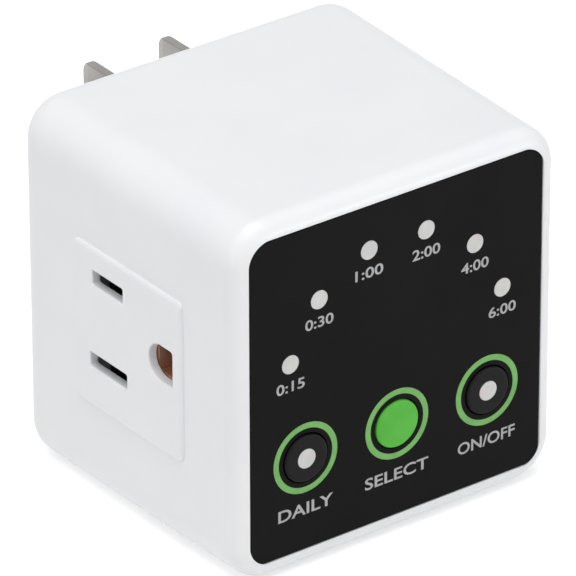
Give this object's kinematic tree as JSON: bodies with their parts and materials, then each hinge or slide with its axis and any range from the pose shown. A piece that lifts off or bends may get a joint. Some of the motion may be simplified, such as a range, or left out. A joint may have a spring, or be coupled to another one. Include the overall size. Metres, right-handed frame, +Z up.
{
  "type": "plug-in timer switch",
  "caption": "Small cube that plugs into a wall socket and switches the outlets on its sides, with a front panel of round buttons and an arc of light windows.",
  "frame": {"origin": "centre of the flat face that meets the wall", "axes": "+Y into the wall, along the plug's pins; +X to the right seen from the front; +Z up"},
  "size_m": [0.0558, 0.0693, 0.0548],
  "materials": {
    "white_shell": "satin moulded ABS",
    "black_panel": "matt black screen-printed plastic",
    "black_key": "matt black moulded plastic",
    "green_key": "green moulded plastic",
    "clear_window": "frosted clear plastic",
    "plated_blade": "nickel-plated brass",
    "steel_screw": "zinc-plated steel",
    "contact_plastic": "black heat-resistant plastic",
    "brass_strip": "stamped brass",
    "copper_strip": "copper alloy",
    "clamp_plastic": "glass-filled plastic",
    "black_plastic": "black moulded plastic",
    "circuit_board": "green solder mask on glass-fibre board",
    "light_chip": "clear resin over a chip",
    "dark_ceramic": "coated ceramic",
    "plated_can": "plated metal",
    "relay_iron": "soft iron",
    "relay_case": "blue moulded case",
    "yellow_case": "resin-filled case",
    "blue_case": "coated case",
    "fuse_body": "ceramic body"
  },
  "bodies": {
    "timer": {"housing": "white_shell", "rear_cover": "white_shell", "front_panel": "black_panel", "light_guide": "clear_window", "outlet_face_left": "white_shell", "outlet_face_right": "white_shell", "contact_block_left": "contact_plastic", "contact_block_right": "contact_plastic", "live_contact_left": "brass_strip", "live_contact_right": "brass_strip", "neutral_contact_left": "brass_strip", "neutral_contact_right": "brass_strip", "earth_contact_left": "copper_strip", "earth_contact_right": "copper_strip", "contact_block_screws": "steel_screw", "live_blade": "plated_blade", "neutral_blade": "plated_blade", "earth_pin": "plated_blade", "blade_clamp": "clamp_plastic", "cover_screws": "steel_screw", "live_feed_strip": "brass_strip", "live_bus": "brass_strip", "neutral_bus": "brass_strip", "earth_bus": "copper_strip", "switch_bodies": "black_plastic", "control_board": "circuit_board", "control_board_screws": "steel_screw", "indicator_chips": "light_chip", "chip_resistors": "dark_ceramic", "controller_chip": "black_plastic", "crystal": "plated_can", "header_base": "black_plastic", "header_pins": "plated_can", "power_board": "circuit_board", "power_board_screws": "steel_screw", "relay_base": "black_plastic", "relay_coil": "copper_strip", "relay_yoke": "relay_iron", "relay_contact": "brass_strip", "relay_cover": "relay_case", "film_capacitor": "yellow_case", "filter_capacitor": "blue_case", "varistor": "blue_case", "fuse": "fuse_body", "rectifier_diodes": "dark_ceramic", "driver_transistor": "black_plastic"},
    "repeat_key": {"repeat_button": "black_key", "repeat_lens": "clear_window", "repeat_plunger": "black_plastic"},
    "select_key": {"select_button": "green_key", "select_plunger": "black_plastic"},
    "power_key": {"power_button": "black_key", "power_lens": "clear_window", "power_plunger": "black_plastic"},
    "relay_arm": {"relay_armature": "relay_iron"}
  },
  "joints": [
    {"name": "repeat_press", "type": "slide", "parent": "timer", "child": "repeat_key", "axis": [0, 1, 0], "range_m": [0, 0.0003], "stiffness_N_per_m": 3000, "springref_m": -0.0004},
    {"name": "select_press", "type": "slide", "parent": "timer", "child": "select_key", "axis": [0, 1, 0], "range_m": [0, 0.0003], "stiffness_N_per_m": 3000, "springref_m": -0.0004},
    {"name": "power_press", "type": "slide", "parent": "timer", "child": "power_key", "axis": [0, 1, 0], "range_m": [0, 0.0003], "stiffness_N_per_m": 3000, "springref_m": -0.0004},
    {"name": "relay_swing", "type": "hinge", "parent": "timer", "child": "relay_arm", "pos_m": [0, -0.0202, -0.00855], "axis": [1, 0, 0], "range_deg": [0, 4.2], "stiffness_Nm_per_rad": 0.005, "springref_deg": -5.73}
  ]
}
